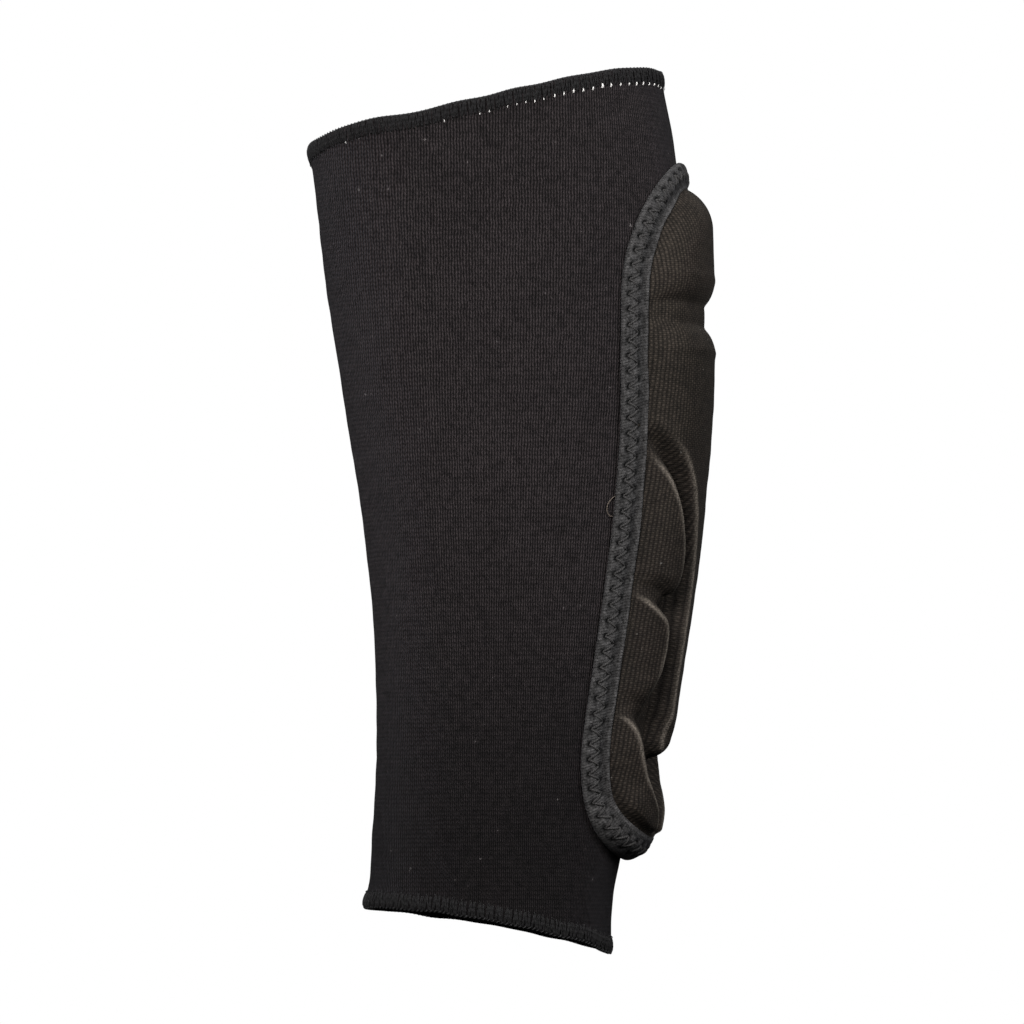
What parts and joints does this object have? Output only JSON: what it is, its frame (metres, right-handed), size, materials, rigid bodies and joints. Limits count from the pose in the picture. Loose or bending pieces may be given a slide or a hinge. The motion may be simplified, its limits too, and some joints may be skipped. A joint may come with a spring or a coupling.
{
  "type": "forearm guard",
  "caption": "Pull-on knit forearm sleeve, tapered from elbow to wrist, with a canvas-covered foam panel of raised cells sewn to its outer side by a zigzagged binding tape.",
  "frame": {"origin": "centre of the wrist opening, on the line through the centres of both openings", "axes": "+Z from the wrist end to the elbow end along the forearm, +X out of the padded panel, Y across the sleeve's flatter sides"},
  "size_m": [0.1239, 0.0814, 0.2689],
  "materials": {
    "knit": "matte elastic rib knit",
    "overlock": "matte wrapped thread",
    "pale_thread": "matte sewing thread",
    "lining": "matte lining cloth",
    "canvas": "matte plain-woven canvas",
    "tape": "soft brushed elastic tape",
    "dark_thread": "matte sewing thread",
    "foam": "matte closed-cell foam"
  },
  "bodies": {
    "root": {"sleeve": "knit", "elbow_overlock_thread": "overlock", "wrist_overlock_thread": "overlock", "elbow_needle_thread": "pale_thread", "wrist_needle_thread": "pale_thread", "panel_backing": "lining", "foam_top": "foam", "foam_centre": "foam", "foam_near_upper": "foam", "foam_near_middle": "foam", "foam_near_lower": "foam", "foam_far_upper": "foam", "foam_far_middle": "foam", "foam_far_lower": "foam", "panel_cover": "canvas", "edge_binding": "tape", "binding_zigzag_thread": "dark_thread"}
  },
  "joints": []
}
